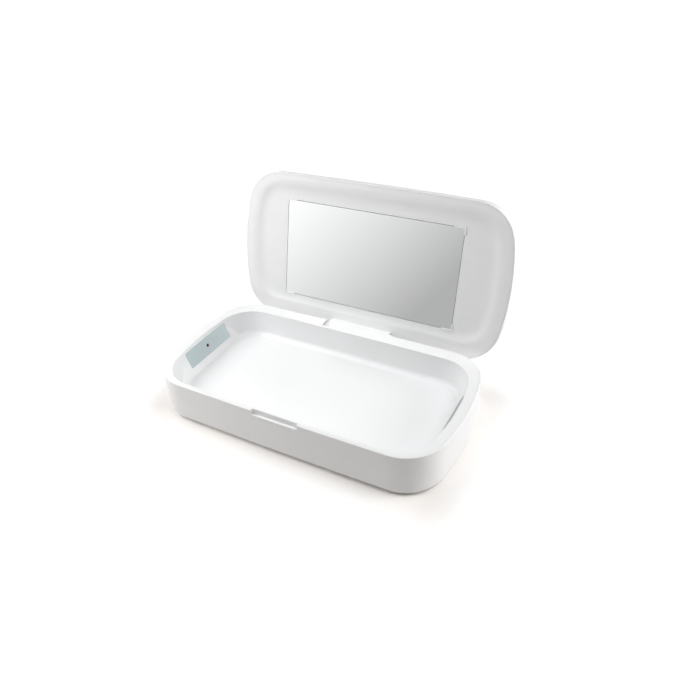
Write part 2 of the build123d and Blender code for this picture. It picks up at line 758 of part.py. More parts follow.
with BuildPart() as lid_shell:
    with BuildSketch(Plane.XY.offset(lip_z)):
        add(even_outline(lid_inset))
    extrude(amount=lid_height)
    fillet(lid_shell.faces().sort_by(Axis.Z)[-1].edges(), lid_top_round)
    fillet(lid_shell.faces().sort_by(Axis.Z)[0].edges(), edge_round)
    add(lid_space.part, mode=Mode.SUBTRACT)
    with BuildSketch(Plane.XY.offset(lip_z - lid_gap)):
        add(even_outline(lid_inset + edge_strip))
    extrude(amount=lid_gap + flange_thickness, mode=Mode.SUBTRACT)
    with BuildSketch(Plane.XY.offset(liner_boss_z + boss_gap)):
        with lid_screw_spots:
            Circle(lid_boss_diameter / 2)
            Circle(lid_screw_diameter / 2 + screw_gap, mode=Mode.SUBTRACT)
    extrude(amount=lid_top_z - lid_wall / 2 - liner_boss_z - boss_gap)
lid_shell.part.label = "lid_shell"

# ---- lid liner with the hinge arm ----
dish_run = dish_depth / tan(radians(dish_slope))


def dish_block(from_z):
    """The dish's body: its outline at the given height, drawn in evenly up to its flat top."""
    with BuildPart() as block:
        for rise, run in ((0, 0), (dish_depth, dish_run)):
            with BuildSketch(Plane.XY.offset(from_z + rise)):
                add(box_outline(lip_end + run, lip_front + run, lip_back + run))
        loft(ruled=True)
    return block.part


dish_hollow = dish_block(lip_z)
dish_back = dish_block(lip_z + panel_thickness)
with BuildPart() as dish_space:
    add(dish_hollow)
    fillet(dish_space.faces().sort_by(Axis.Z)[-1].edges(), dish_round)



def clip_corners(margin):
    """Plan of the four clips round the mirror's corners, each larger by the margin."""
    reach = clip_gap + clip_wall + margin
    with BuildSketch(mode=Mode.PRIVATE) as plan:
        Rectangle(mirror_length + 2 * reach, mirror_width + 2 * reach)
        Rectangle(mirror_length - 2 * (clip_leg + margin), 2 * mirror_width, mode=Mode.SUBTRACT)
        Rectangle(2 * mirror_length, mirror_width - 2 * (clip_end_leg + margin), mode=Mode.SUBTRACT)
    return plan.sketch


seat_wall = seat_margin + panel_thickness
arm_top_z = lip_z - 2 * seam_gap
liner_edge_y = width / 2 - lid_inset - edge_strip - 2 * seam_gap
with BuildPart() as lid_liner:
    with BuildSketch(Plane.XY.offset(lip_z)):
        add(even_outline(lid_inset + edge_strip + seam_gap))
    extrude(amount=flange_thickness)
    add(dish_back)
    with BuildSketch(Plane.XY.offset(panel_z)):
        Rectangle(mirror_length + 2 * seat_wall, mirror_width + 2 * seat_wall)
    extrude(amount=seat_top_z - panel_z)
    with BuildSketch(Plane.XY.offset(seat_z)):
        with lid_screw_spots:
            Circle(lid_boss_diameter / 2)
    extrude(amount=liner_boss_z - seat_z)
    add(dish_space.part, mode=Mode.SUBTRACT)
    fillet(lid_liner.faces().sort_by(Axis.Z)[0].inner_wires()[0].edges(), lip_round)
    # pocket that sinks the mirror flush with the panel, with room for its clips
    with BuildSketch(Plane.XY.offset(lip_z)):
        Rectangle(mirror_length + 2 * mirror_gap, mirror_width + 2 * mirror_gap)
        add(clip_corners(seam_gap))
    extrude(amount=seat_z - lip_z, mode=Mode.SUBTRACT)
    with BuildSketch(Plane.XY.offset(seat_z)):
        with lid_screw_spots:
            Circle(lid_screw_head / 2 + head_gap)
    extrude(amount=lid_screw_sink, mode=Mode.SUBTRACT)
    with BuildSketch(Plane.XY.offset(seat_z)):
        with lid_screw_spots:
            Circle(lid_screw_diameter / 2 + head_gap)
    extrude(amount=liner_boss_z - seat_z, mode=Mode.SUBTRACT)
    # the arm: a deep block that fills the pocket, round about the axis below it
    with BuildSketch(Plane.YZ):
        with BuildLine():
            Line((axis_y, axis_z), (arm_front, axis_z))
            CenterArc((axis_y, axis_z), arm_reach, 180, nose_sweep)
            Line(
                (
                    axis_y - arm_reach * cos(radians(nose_sweep)),
                    axis_z - arm_reach * sin(radians(nose_sweep)),
                ),
                (axis_y, axis_z),
            )
        make_face()
        with Locations((axis_y, axis_z)):
            Circle(knuckle_radius)
        with Locations(((arm_front + arm_back) / 2, (axis_z + arm_top_z) / 2)):
            Rectangle(arm_back - arm_front, arm_top_z - axis_z)
        with Locations(((arm_front + liner_edge_y) / 2, (axis_z + lip_z + seam_gap) / 2)):
            Rectangle(liner_edge_y - arm_front, lip_z + seam_gap - axis_z)
    extrude(amount=arm_half, both=True)
    with BuildSketch(Plane.YZ):
        with Locations((axis_y, axis_z)):
            Circle(pin_diameter / 2 + pin_gap)
    extrude(amount=arm_half + pin_gap, both=True, mode=Mode.SUBTRACT)
lid_liner.part.label = "lid_liner"

# ---- mirror on its tapes, with a clip at each corner ----
mirror_back_z = seat_z - tape_thickness
mirror_face_z = mirror_back_z - mirror_thickness
with BuildPart() as mirror_tape:
    with BuildSketch(Plane.XY.offset(mirror_back_z)):
        with GridLocations(1, mirror_width - tape_width - 2 * clip_wall, 1, 2):
            Rectangle(tape_length, tape_width)
    extrude(amount=tape_thickness)
mirror_tape.part.label = "mirror_tape"

with BuildPart() as mirror:
    with BuildSketch(Plane.XY.offset(mirror_face_z)):
        Rectangle(mirror_length, mirror_width)
    extrude(amount=mirror_thickness)
    chamfer(mirror.faces().sort_by(Axis.Z)[0].edges(), clip_gap)
mirror.part.label = "mirror"

clip_z = mirror_face_z - clip_gap - clip_face
with BuildPart() as mirror_clips:
    with BuildSketch(Plane.XY.offset(clip_z)):
        add(clip_corners(0))
        Rectangle(
            mirror_length - 2 * clip_hook, mirror_width - 2 * clip_hook, mode=Mode.SUBTRACT
        )
    extrude(amount=seat_z - clip_z)
    with BuildSketch(Plane.XY.offset(mirror_face_z - clip_gap)):
        Rectangle(mirror_length + 2 * clip_gap, mirror_width + 2 * clip_gap)
    extrude(amount=seat_z - mirror_face_z + clip_gap, mode=Mode.SUBTRACT)
mirror_clips.part.label = "mirror_clips"

# ---- lid screws and magnets ----
lid_head_z = seat_z + lid_screw_sink
with BuildPart() as lid_screws:
    with BuildSketch(Plane.XY.offset(lid_head_z - lid_screw_head_height)):
        with lid_screw_spots:
            Circle(lid_screw_head / 2)
    extrude(amount=lid_screw_head_height)
    with BuildSketch(Plane.XY.offset(lid_head_z)):
        with lid_screw_spots:
            Circle(lid_screw_diameter / 2)
    extrude(amount=lid_screw_reach)
lid_screws.part.label = "lid_screws"

with BuildPart() as lid_magnets:
    with BuildSketch(Plane.XY.offset(lip_z + flange_thickness)):
        with Locations((magnet_x, -magnet_forward), (-magnet_x, -magnet_forward)):
            Rectangle(magnet_width, magnet_length)
    extrude(amount=magnet_height)
lid_magnets.part.label = "lid_magnets"

with BuildPart() as sensor_magnet:
    with BuildSketch(Plane.XY.offset(lip_z + flange_thickness)):
        with Locations((sensor_x, sensor_y)):
            Circle(sensor_size / 2)
    extrude(amount=sensor_depth)
sensor_magnet.part.label = "sensor_magnet"

# ---- the lid swings back to its stop ----
lid_parts = [
    lid_shell,
    lid_liner,
    mirror,
    mirror_tape,
    mirror_clips,
    lid_screws,
    lid_magnets,
    sensor_magnet,
]
for piece in lid_parts:
    name = piece.part.label
    piece.part = piece.part.rotate(hinge_axis, -lid_open)
    piece.part.label = name

# ---- written pieces: the origin goes under the middle of the open box ----
open_back = lid_shell.part.bounding_box().max.Y
home = Location((0, (width / 2 - open_back) / 2, 0))
base_parts = [
    base_shell,
    tray_liner,
    rubber_feet,
    base_screws,
    main_board,
    board_screws,
    board_parts,
    usb_socket,
    start_button,
    switch_plunger,
    tact_switch,
    switch_board,
    status_light,
    light_pipe,
    lid_sensor,
    base_magnets,
    hinge_pin,
    led_lead_left,
    led_lead_right,
    switch_lead,
    sensor_lead,
]
os.makedirs("parts", exist_ok=True)
for piece in base_parts + lamp_parts + lid_parts:
    name = piece.part.label
    placed = piece.part.moved(home)
    placed.label = name
    export_step(placed, "parts/" + name + ".step")
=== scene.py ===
# %% [markdown]
# # Dressing a sanitizer box for phones
# The box is a shallow white tub with a tray, a mirrored lid that stands open, and two small
# ultraviolet lamps behind windows in the tray's ends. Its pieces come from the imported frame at
# their real size and place. This lesson gives each of them its finish, adds small forms that
# the plain solids lack, such as the screws' threads and the feet's treads, and sets up a pale
# studio round it.

# %% Load the frame
import json
from math import cos, pi, radians, sin

import bmesh
import bpy
from mathutils import Matrix, Vector

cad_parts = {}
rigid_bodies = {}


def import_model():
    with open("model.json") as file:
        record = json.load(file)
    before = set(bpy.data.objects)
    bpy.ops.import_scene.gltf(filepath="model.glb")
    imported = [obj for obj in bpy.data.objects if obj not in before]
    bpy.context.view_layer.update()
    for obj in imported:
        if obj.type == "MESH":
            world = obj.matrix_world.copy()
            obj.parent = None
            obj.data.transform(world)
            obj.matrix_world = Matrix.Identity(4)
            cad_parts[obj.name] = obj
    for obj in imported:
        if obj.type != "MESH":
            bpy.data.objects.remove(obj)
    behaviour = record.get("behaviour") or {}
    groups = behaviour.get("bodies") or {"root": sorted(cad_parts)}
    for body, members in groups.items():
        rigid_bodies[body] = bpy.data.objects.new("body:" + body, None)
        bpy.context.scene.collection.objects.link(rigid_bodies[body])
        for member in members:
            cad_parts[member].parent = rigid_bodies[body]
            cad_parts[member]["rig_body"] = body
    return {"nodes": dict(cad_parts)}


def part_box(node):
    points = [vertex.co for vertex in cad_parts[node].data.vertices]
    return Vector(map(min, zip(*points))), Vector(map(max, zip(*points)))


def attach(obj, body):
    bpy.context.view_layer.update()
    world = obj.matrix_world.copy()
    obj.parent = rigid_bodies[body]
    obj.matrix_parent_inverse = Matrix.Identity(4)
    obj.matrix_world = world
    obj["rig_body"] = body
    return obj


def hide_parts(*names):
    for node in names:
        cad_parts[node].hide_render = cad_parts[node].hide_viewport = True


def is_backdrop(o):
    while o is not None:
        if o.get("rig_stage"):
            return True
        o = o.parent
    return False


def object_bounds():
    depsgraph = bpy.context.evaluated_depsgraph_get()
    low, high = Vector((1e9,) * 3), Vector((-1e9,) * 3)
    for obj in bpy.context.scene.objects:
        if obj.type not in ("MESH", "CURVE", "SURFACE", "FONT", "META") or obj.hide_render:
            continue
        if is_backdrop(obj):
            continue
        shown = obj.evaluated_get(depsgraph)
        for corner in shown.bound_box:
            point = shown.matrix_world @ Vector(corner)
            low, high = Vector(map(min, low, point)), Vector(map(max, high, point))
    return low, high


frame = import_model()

cad_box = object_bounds()
nodes = frame["nodes"]
mm = 0.001


def in_mm(*corners):
    """Points in metres as one list of rounded millimetres, to print."""
    return [round(v / mm, 2) for corner in corners for v in corner]


print("nodes:", len(nodes), "CAD box:", in_mm(*cad_box))

# %% [markdown]
# ## The camera
# A product picture is taken from above the table and from the right of the box's front. The
# camera's place is a point, and its turn is written as angles, because those are what a
# photographer sets: how far round, how high, and how level. Its third axis points back at the
# photographer.

# %% Camera
camera_turn = radians(29.8)      # round the box from the front
camera_height = radians(34.05)   # above the table
camera_roll = radians(-3.03)     # the picture leans a little
camera_lens = 33.46              # on a sensor 36 mm wide
camera_place = Vector((195.3, -331.4, 302.1)) * mm

back = Vector(
    (
        sin(camera_turn) * cos(camera_height),
        -cos(camera_turn) * cos(camera_height),
        sin(camera_height),
    )
)
level_right = (-back).cross(Vector((0, 0, 1))).normalized()
level_up = level_right.cross(-back)
right = cos(camera_roll) * level_right + sin(camera_roll) * level_up
up = -sin(camera_roll) * level_right + cos(camera_roll) * level_up


def turned_to(x_axis, y_axis, z_axis):
    """The turn that carries the world's axes to these three."""
    return Matrix((x_axis, y_axis, z_axis)).transposed().to_4x4()


camera = bpy.data.objects.new("camera", bpy.data.cameras.new("camera"))
camera.data.lens = camera_lens
camera.data.clip_start = 10 * mm
camera.matrix_world = Matrix.Translation(camera_place) @ turned_to(right, up, back)
bpy.context.scene.collection.objects.link(camera)
bpy.context.scene.camera = camera
print("camera", round(camera_place.length, 3), "m from the frame's origin")

# %% [markdown]
# ## Shader maths in plain Python
# A finish is a small network of nodes. Written out link by link it is hard to read, so one class
# wraps a socket and lets `+`, `-` and `*` add the Math nodes, and another makes any other node
# from its type, its settings and the values of its sockets. A third adds what a material needs.


# %% Sockets that do sums
class Wire:
    """A value that leaves a node, with the sums that can be done on it."""

    def __init__(self, shading, socket):
        self.shading = shading
        self.socket = socket

    def __add__(self, other):
        return self.shading.maths("ADD", self, other)

    def __sub__(self, other):
        return self.shading.maths("SUBTRACT", self, other)

    def __rsub__(self, other):
        return self.shading.maths("SUBTRACT", other, self)

    def __mul__(self, other):
        return self.shading.maths("MULTIPLY", self, other)

    __radd__ = __add__
    __rmul__ = __mul__


class Shading:
    """A shader tree, of a material or of the world."""

    def __init__(self, tree):
        self.nodes = tree.nodes
        self.links = tree.links

    def node(self, kind, settings=None, sockets=None, output=0):
        """A node of a kind: its settings first, and then its sockets' values or links."""
        made = self.nodes.new(kind)
        for setting, value in (settings or {}).items():
            setattr(made, setting, value)
        for name, value in (sockets or {}).items():
            if isinstance(value, Wire):
                self.links.new(value.socket, made.inputs[name])
            else:
                made.inputs[name].default_value = value
        return Wire(self, made.outputs[output])

    def maths(self, operation, *values):
        """A Math node on one or two values."""
        return self.node("ShaderNodeMath", {"operation": operation}, dict(enumerate(values)))

    def axis(self, place, name):
        return self.node("ShaderNodeSeparateXYZ", None, {0: place}, output=name)


class Finish(Shading):
    """A procedural material: its nodes, and the uniform settings of its shader."""

    def __init__(self, name, **uniform):
        self.material = bpy.data.materials.new(name)
        self.material.use_nodes = True
        super().__init__(self.material.node_tree)
        self.shader = self.nodes["Principled BSDF"]
        for setting, value in uniform.items():
            socket = "IOR" if setting == "ior" else setting.replace("_", " ").title()
            self.shader.inputs[socket].default_value = value

    def place(self):
        """Where a point of the surface is, in metres, fixed to the piece."""
        return self.node("ShaderNodeTexCoord", output="Object")

    def noise(self, place, size, detail=2.0, roughness=0.5):
        """Cloudy noise from 0 to 1 with blots of about the given size in millimetres."""
        return self.node(
            "ShaderNodeTexNoise",
            None,
            {"Vector": place, "Scale": 1 / (size * mm), "Detail": detail, "Roughness": roughness},
            output="Fac",
        )

    def blend(self, share, first, second):
        """A colour between two, by a share from 0 to 1."""
        return self.node(
            "ShaderNodeMix",
            {"data_type": "RGBA"},
            {"Factor": share, 6: first, 7: second},
            output=2,
        )

    def colour(self, value):
        self.links.new(value.socket, self.shader.inputs["Base Color"])

    def roughness(self, value):
        self.links.new(value.socket, self.shader.inputs["Roughness"])

    def relief(self, height, depth, strength=1.0):
        """Bumps whose full height is depth millimetres."""
        bump = self.node(
            "ShaderNodeBump", None, {"Height": height, "Distance": depth * mm, "Strength": strength}
        )
        self.links.new(bump.socket, self.shader.inputs["Normal"])

    def surface(self, share, first, second):
        """Show two shaders, mixed by a share from 0, the first alone, to 1, the second alone."""
        mixed = self.node("ShaderNodeMixShader", None, {0: share, 1: first, 2: second})
        self.links.new(mixed.socket, self.nodes["Material Output"].inputs["Surface"])


def opaque(*rgb):
    """A colour with full cover."""
    return (*rgb, 1.0)


# %% [markdown]
# ## White moulded plastic
# The tub and the lid are ABS with a satin, spark-eroded grain: dots about 0.4 mm across and a
# few microns deep. The colour is all but even. What makes it read as plastic is the way the gloss
# varies, so the grain goes into the relief and the roughness. Wide clouds from handling go into
# the roughness and, very faintly, into the colour, and narrower ones from the melt's flow into
# the colour alone.


# %% Moulded white
cloud_size, flow_size = 38.0, 6.0        # mm
cloud_share = 0.7                        # of the colour's change, with the rest from the flow
cloud_gloss, grain_gloss = 0.08, 0.10    # how far each moves the roughness


def moulded_white(name, tone, shade, gloss, grain_size, grain_depth):
    finish = Finish(name, ior=1.53)
    place = finish.place()
    clouds = finish.noise(place, cloud_size, detail=3.0)
    flow = finish.noise(place, flow_size, detail=4.0)
    grain = finish.noise(place, grain_size, detail=2.0, roughness=0.6)
    cover = clouds * cloud_share + flow * (1 - cloud_share)
    finish.colour(finish.blend(cover, opaque(*tone), opaque(*shade)))
    finish.roughness(gloss + (clouds - 0.5) * cloud_gloss + (grain - 0.5) * grain_gloss)
    finish.relief(grain, grain_depth)
    return finish.material


shell_white = moulded_white(
    "shell_white_abs", (0.880, 0.882, 0.884), (0.860, 0.861, 0.864),
    gloss=0.46, grain_size=0.35, grain_depth=0.006,
)
liner_white = moulded_white(
    "liner_white_abs", (0.872, 0.876, 0.880), (0.852, 0.856, 0.860),
    gloss=0.40, grain_size=0.42, grain_depth=0.004,
)
print("white plastics:", shell_white.name, liner_white.name)

# %% [markdown]
# ## The plates of the lamp windows
# Behind each window lies a pressed aluminium plate with a satin, lengthwise brushing. It is
# bluish grey beside the white plastic. The brushing runs along Y, so the noise is stretched:
# its coordinates are squeezed along Y and left alone across it. Two choices here are painted
# light: the tone rises towards the hinge side as painted light, and the right plate, which is
# seen almost edge on, is darker and less blue than the left as painted shade.


# %% Brushed plate
plate_front, plate_back = -48.0, 0.0   # along Y, where the painted light on the tone starts and stops rising
deep_brushing = 0.82                   # how much of the tone is left in the deep brush lines
brush_squeeze = 0.03                   # of the noise's coordinates along Y
brush_line, brush_depth = 0.28, 0.003  # mm
plate_cloud = 9.0                      # mm
plate_gloss, plate_gloss_spread = 0.34, 0.18


def brushed_plate(name, front, back):
    """Brushed metal with painted light from front to back, darker where the brushing is deep."""
    finish = Finish(name, metallic=0.55, ior=1.5)
    place = finish.place()
    squeezed = finish.node(
        "ShaderNodeMapping", None, {"Vector": place, "Scale": (1.0, brush_squeeze, 1.0)}
    )
    lines = finish.noise(squeezed, brush_line, detail=3.0, roughness=0.7)
    clouds = finish.noise(place, plate_cloud, detail=2.0)
    # Painted light: the tone grows lighter along Y towards the hinge side.
    painted_light_share = finish.node(
        "ShaderNodeMapRange", None,
        {"Value": finish.axis(place, "Y"),
         "From Min": plate_front * mm, "From Max": plate_back * mm},
    )
    tone = finish.blend(painted_light_share, opaque(*front), opaque(*back))
    dark_front, dark_back = ([deep_brushing * v for v in end] for end in (front, back))
    shade = finish.blend(painted_light_share, opaque(*dark_front), opaque(*dark_back))
    finish.colour(finish.blend(lines * 0.5 + clouds * 0.5, tone, shade))
    finish.roughness(plate_gloss + (lines - 0.5) * plate_gloss_spread)
    finish.relief(lines, brush_depth)
    return finish.material


# Painted light: each plate grows lighter towards the hinge side.
plate_grey = brushed_plate("plate_brushed", (0.49, 0.58, 0.60), (0.74, 0.84, 0.86))
# Painted shade: the right plate, seen almost edge on, is a darker copy of the same finish.
plate_painted_shade = brushed_plate("plate_brushed_dark", (0.36, 0.38, 0.39), (0.44, 0.47, 0.48))
print("plates:", plate_grey.name, plate_painted_shade.name)


# %% [markdown]
# ## The small finishes
# Rubber, boards, ceramic, steel, nickel, silver, tape, black and clear plastic and the leads'
# white jacket differ in tone, gloss and scale and not in kind, so one function makes them all: a
# noise at the scale of the real surface, which is also the relief, and a wider one.


# %% One function for the plain finishes
wide_over_fine = 14     # how many times wider the clouds are than the speckles
fine_share = 0.4        # of the colour's change


def speckled(name, tone, shade, gloss, size, depth, spread=0.08, **uniform):
    """Speckles of a size and depth in millimetres. Gloss is the roughness, and spread its range."""
    finish = Finish(name, **uniform)
    place = finish.place()
    fine = finish.noise(place, size, detail=3.0, roughness=0.6)
    wide = finish.noise(place, size * wide_over_fine, detail=2.0)
    cover = fine * fine_share + wide * (1 - fine_share)
    finish.colour(finish.blend(cover, opaque(*tone), opaque(*shade)))
    finish.roughness(gloss + (wide - 0.5) * spread + (fine - 0.5) * spread)
    finish.relief(fine, depth)
    return finish.material


finishes = {
    "shell_white": shell_white,
    "liner_white": liner_white,
    "plate_grey": plate_grey,
    "mirror_glass": speckled(
        "mirror_silver", (0.93, 0.935, 0.94), (0.92, 0.925, 0.93), 0.06, 3.0, 0.0,
        spread=0.02, metallic=1.0,
    ),
    "tape_grey": speckled("tape_foam", (0.46, 0.46, 0.47), (0.38, 0.38, 0.39), 0.85, 0.25, 0.03),
    "board_green": speckled(
        "board_mask", (0.02, 0.17, 0.08), (0.02, 0.12, 0.06), 0.32, 0.4, 0.004
    ),
    "led_ceramic": speckled(
        "led_ceramic", (0.80, 0.79, 0.74), (0.73, 0.72, 0.68), 0.42, 0.1, 0.002
    ),
    "clear_plastic": speckled(
        "clear_pipe", (0.95, 0.96, 0.96), (0.92, 0.94, 0.94), 0.08, 0.6, 0.002,
        transmission_weight=0.9, ior=1.49,
    ),
    "black_plastic": speckled(
        "black_moulding", (0.030, 0.030, 0.032), (0.022, 0.022, 0.024), 0.45, 0.2, 0.004
    ),
    "steel": speckled(
        "steel_plated", (0.62, 0.62, 0.63), (0.53, 0.53, 0.55), 0.28, 0.3, 0.002, metallic=1.0
    ),
    "nickel": speckled(
        "magnet_nickel", (0.68, 0.66, 0.62), (0.60, 0.58, 0.55), 0.22, 0.4, 0.002, metallic=1.0
    ),
    "rubber_grey": speckled("foot_rubber", (0.33, 0.33, 0.34), (0.27, 0.27, 0.28), 0.78, 0.3, 0.02),
    "lead_white": speckled("lead_jacket", (0.80, 0.80, 0.79), (0.74, 0.74, 0.73), 0.48, 0.5, 0.006),
}

# %% [markdown]
# ## Dressing the solids
# The solids come with a plain material each, named after its slot in the record. One could pick
# every solid by hand, but the slot's name already says which finish it is, so the finishes are
# kept by that name. Only the right window's plate gets a finish of its own: the same brushed
# plate, darkened as painted shade.

# %% Give every carried-over piece its finish
for node in nodes.values():
    slot_name = node.data.materials[0].name.split(".")[0]
    node.data.materials[0] = finishes[slot_name]
# The right plate takes the painted-shade copy.
nodes["led_plate_right"].data.materials[0] = plate_painted_shade
print("finishes:", ", ".join(finishes), "on", len(nodes), "nodes")

# %% [markdown]
# # Pieces with small forms
# The solids are right in size but plain: a screw is two cylinders, a foot is a pad. Each of
# those gets a piece of its own here, in the same space. They are drawn where it is easy,
# with the lid closed or about a screw's own axis, and then carried to their place by a matrix.
# The middle of the box and the hinge's axis are read from the frame.

# %% Where things are
feet_low, feet_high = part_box("rubber_feet")
box_y = (feet_low[1] + feet_high[1]) / 2
pin_low, pin_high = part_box("hinge_pin")
hinge = Vector((0, (pin_low[1] + pin_high[1]) / 2, (pin_low[2] + pin_high[2]) / 2))
lid_open = radians(103)          # from closed to the open rest pose
box_middle = Matrix.Translation((0, box_y, 0))
open_lid = (
    Matrix.Translation(hinge) @ Matrix.Rotation(-lid_open, 4, "X") @ Matrix.Translation(-hinge)
)
upside_down = Matrix.Rotation(pi, 4, "X")
print("hinge axis at", in_mm(hinge), "middle of the box at y", round(box_y / mm, 2))


def at(x, y, z):
    """A move by millimetres."""
    return Matrix.Translation(Vector((x, y, z)) * mm)


# %% [markdown]
# ## Outlines stacked into solids
# Most small parts are an outline that is drawn in a little at some heights: a bevelled sheet of
# glass, a screw's head, a plug. So one function stacks outlines into a closed solid, and another
# gathers such solids, each with its finish, into one piece that rides on a body.


# %% Stacks
def oblong(length, width, radius, steps=5):
    """An oblong with round corners, as points in millimetres. A full radius makes it round."""
    points = []
    for corner, (i, j) in enumerate(((1, 1), (-1, 1), (-1, -1), (1, -1))):
        for step in range(steps + 1):
            a = (corner + step / steps) * pi / 2
            x = i * (length / 2 - radius) + radius * cos(a)
            y = j * (width / 2 - radius) + radius * sin(a)
            points.append((x, y))
    return points


def stack(rings):
    """A closed mesh through rings, each (length, width, radius, height) in millimetres."""
    shape = bmesh.new()
    layers = []
    for length, width, radius, height in rings:
        outline = oblong(length, width, radius)
        layers.append([shape.verts.new((x * mm, y * mm, height * mm)) for x, y in outline])
    for low, high in zip(layers, layers[1:]):
        for i in range(len(low)):
            j = (i + 1) % len(low)
            shape.faces.new((low[i], low[j], high[j], high[i]))
    shape.faces.new(layers[0][::-1])
    shape.faces.new(layers[-1])
    bmesh.ops.remove_doubles(shape, verts=shape.verts, dist=mm / 1000)
    bmesh.ops.recalc_face_normals(shape, faces=shape.faces)
    mesh = bpy.data.meshes.new("stack")
    shape.to_mesh(mesh)
    shape.free()
    return mesh


def round_stack(rings):
    """The same for round parts, each ring (diameter, height)."""
    return stack([(across, across, across / 2, height) for across, height in rings])


def corners(mesh):
    """The lowest and highest corners of a mesh."""
    columns = list(zip(*(vertex.co for vertex in mesh.vertices)))
    return [min(column) for column in columns], [max(column) for column in columns]


def piece(name, body, replaced, parts, sharp=35):
    """One object out of (mesh, material, matrix) parts, which stands for some nodes."""
    whole = bmesh.new()
    materials = []
    for mesh, material, matrix in parts:
        if material not in materials:
            materials.append(material)
        part = bmesh.new()
        part.from_mesh(mesh)
        part.transform(matrix)
        for face in part.faces:
            face.material_index = materials.index(material)
            face.smooth = True
        carried = bpy.data.meshes.new("carried")
        part.to_mesh(carried)
        part.free()
        whole.from_mesh(carried)
        bpy.data.meshes.remove(carried)
    mesh = bpy.data.meshes.new(name)
    whole.to_mesh(mesh)
    whole.free()
    for material in materials:
        mesh.materials.append(material)
    mesh.set_sharp_from_angle(angle=radians(sharp))
    made = bpy.data.objects.new(name, mesh)
    bpy.context.scene.collection.objects.link(made)
    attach(made, body)
    if replaced:
        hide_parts(*replaced)
    print(name, "faces", len(mesh.polygons), "box", in_mm(*corners(mesh)))
    for node in replaced:
        print("  stands for", node, in_mm(*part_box(node)))


# %% [markdown]
# ## The mirror
# The mirror is a sheet of 1.8 mm glass with its front edge ground to a narrow bevel, silvered and
# painted behind. The silver shows through the glass as one bright face, so the face is a metal
# with almost no roughness. The bevel and the edge are ground matt and look grey-green, because
# there one looks into the glass instead of through it.

# %% Mirror sheet
glass_edge = speckled(
    "glass_ground_edge", (0.42, 0.50, 0.48), (0.36, 0.44, 0.42), 0.42, 0.3, 0.003, ior=1.52
)
back_paint = speckled(
    "mirror_back_paint", (0.20, 0.21, 0.23), (0.16, 0.17, 0.19), 0.55, 0.5, 0.006
)
mirror_length, mirror_width, mirror_thickness = 145.5, 77.3, 1.8
mirror_bevel = 0.35              # width of the ground front edge
mirror_face_height = 35.35       # above the table with the lid closed
mirror_corner = 0.6              # radius of its corners
on_lid = open_lid @ Matrix.Translation((0, box_y, mirror_face_height * mm))


def mirror_ring(inset, height):
    return (mirror_length - 2 * inset, mirror_width - 2 * inset, mirror_corner, height)


face_depth = 0.02                # the silver's own thin layer in front of the ground edge
piece(
    "mirror_sheet", "lid", ["mirror"],
    [
        (stack([mirror_ring(mirror_bevel, 0), mirror_ring(mirror_bevel, face_depth)]),
         finishes["mirror_glass"], on_lid),
        (stack([mirror_ring(mirror_bevel, face_depth), mirror_ring(0, mirror_bevel),
                mirror_ring(0, mirror_thickness - mirror_bevel)]), glass_edge, on_lid),
        (stack([mirror_ring(0, mirror_thickness - mirror_bevel),
                mirror_ring(mirror_bevel / 2, mirror_thickness)]), back_paint, on_lid),
    ],
    sharp=20,
)

# %% [markdown]
# ## The lamps
# An ultraviolet lamp of this size is a square of white ceramic, with a quartz window held in a
# plated seal ring. Unlit, the window is the dark spot in the middle of each end plate. The two
# are the same three stacks, set on their facets: a facet's own axes run along the box's width,
# up its slope and out of it.

# %% Lamps
seal_gold = speckled(
    "lamp_seal_gold", (0.83, 0.62, 0.30), (0.74, 0.54, 0.25), 0.24, 0.2, 0.001, metallic=1.0
)
quartz_dark = speckled(
    "lamp_quartz", (0.018, 0.020, 0.026), (0.012, 0.013, 0.018), 0.12, 0.4, 0.001, ior=1.46
)
facet_slope = radians(26.0)
facet_x, facet_z = 100.411, 24.3   # middle of a window on the facet
lamp_depth = 2.3                   # from the facet down to the lamp's own board


def facet_frame(side):
    """Axes and middle of the surface that a lamp stands on, at the right (1) or left (-1) end."""
    normal = Vector((-side * cos(facet_slope), 0, sin(facet_slope)))
    along = Vector((0, side, 0))
    across = normal.cross(along)
    middle = Vector((side * facet_x * mm, box_y, facet_z * mm)) - normal * lamp_depth * mm
    return Matrix.Translation(middle) @ turned_to(along, across, normal)


lamp_parts = [
    (stack([(3.5, 3.5, 0.25, 0), (3.5, 3.5, 0.25, 0.74), (3.34, 3.34, 0.25, 0.82)]),
     finishes["led_ceramic"]),
    (round_stack([(2.9, 0.82), (2.9, 0.96), (2.7, 1.02)]), seal_gold),
    (round_stack([(2.4, 1.02), (2.4, 1.16), (2.1, 1.26), (1.5, 1.30)]), quartz_dark),
]
for side, hand in ((-1, "left"), (1, "right")):
    placed = [(mesh, material, facet_frame(side)) for mesh, material in lamp_parts]
    piece("uvc_lamp_" + hand, "base", ["uvc_led_" + hand], placed, sharp=40)

# %% [markdown]
# ## Geometry Nodes: rows of copies, and screws
# Screws, treads, contacts and capacitors all repeat on a grid. One tree sets copies of whatever it
# is given on a grid's points. A second one first finishes a screw: it cuts a cross in the head
# and winds a thread round the shank, and then does the same. Both take their sizes as named
# inputs, and both end by turning the instances into real mesh, which is then kept as a plain
# mesh with the modifier gone.


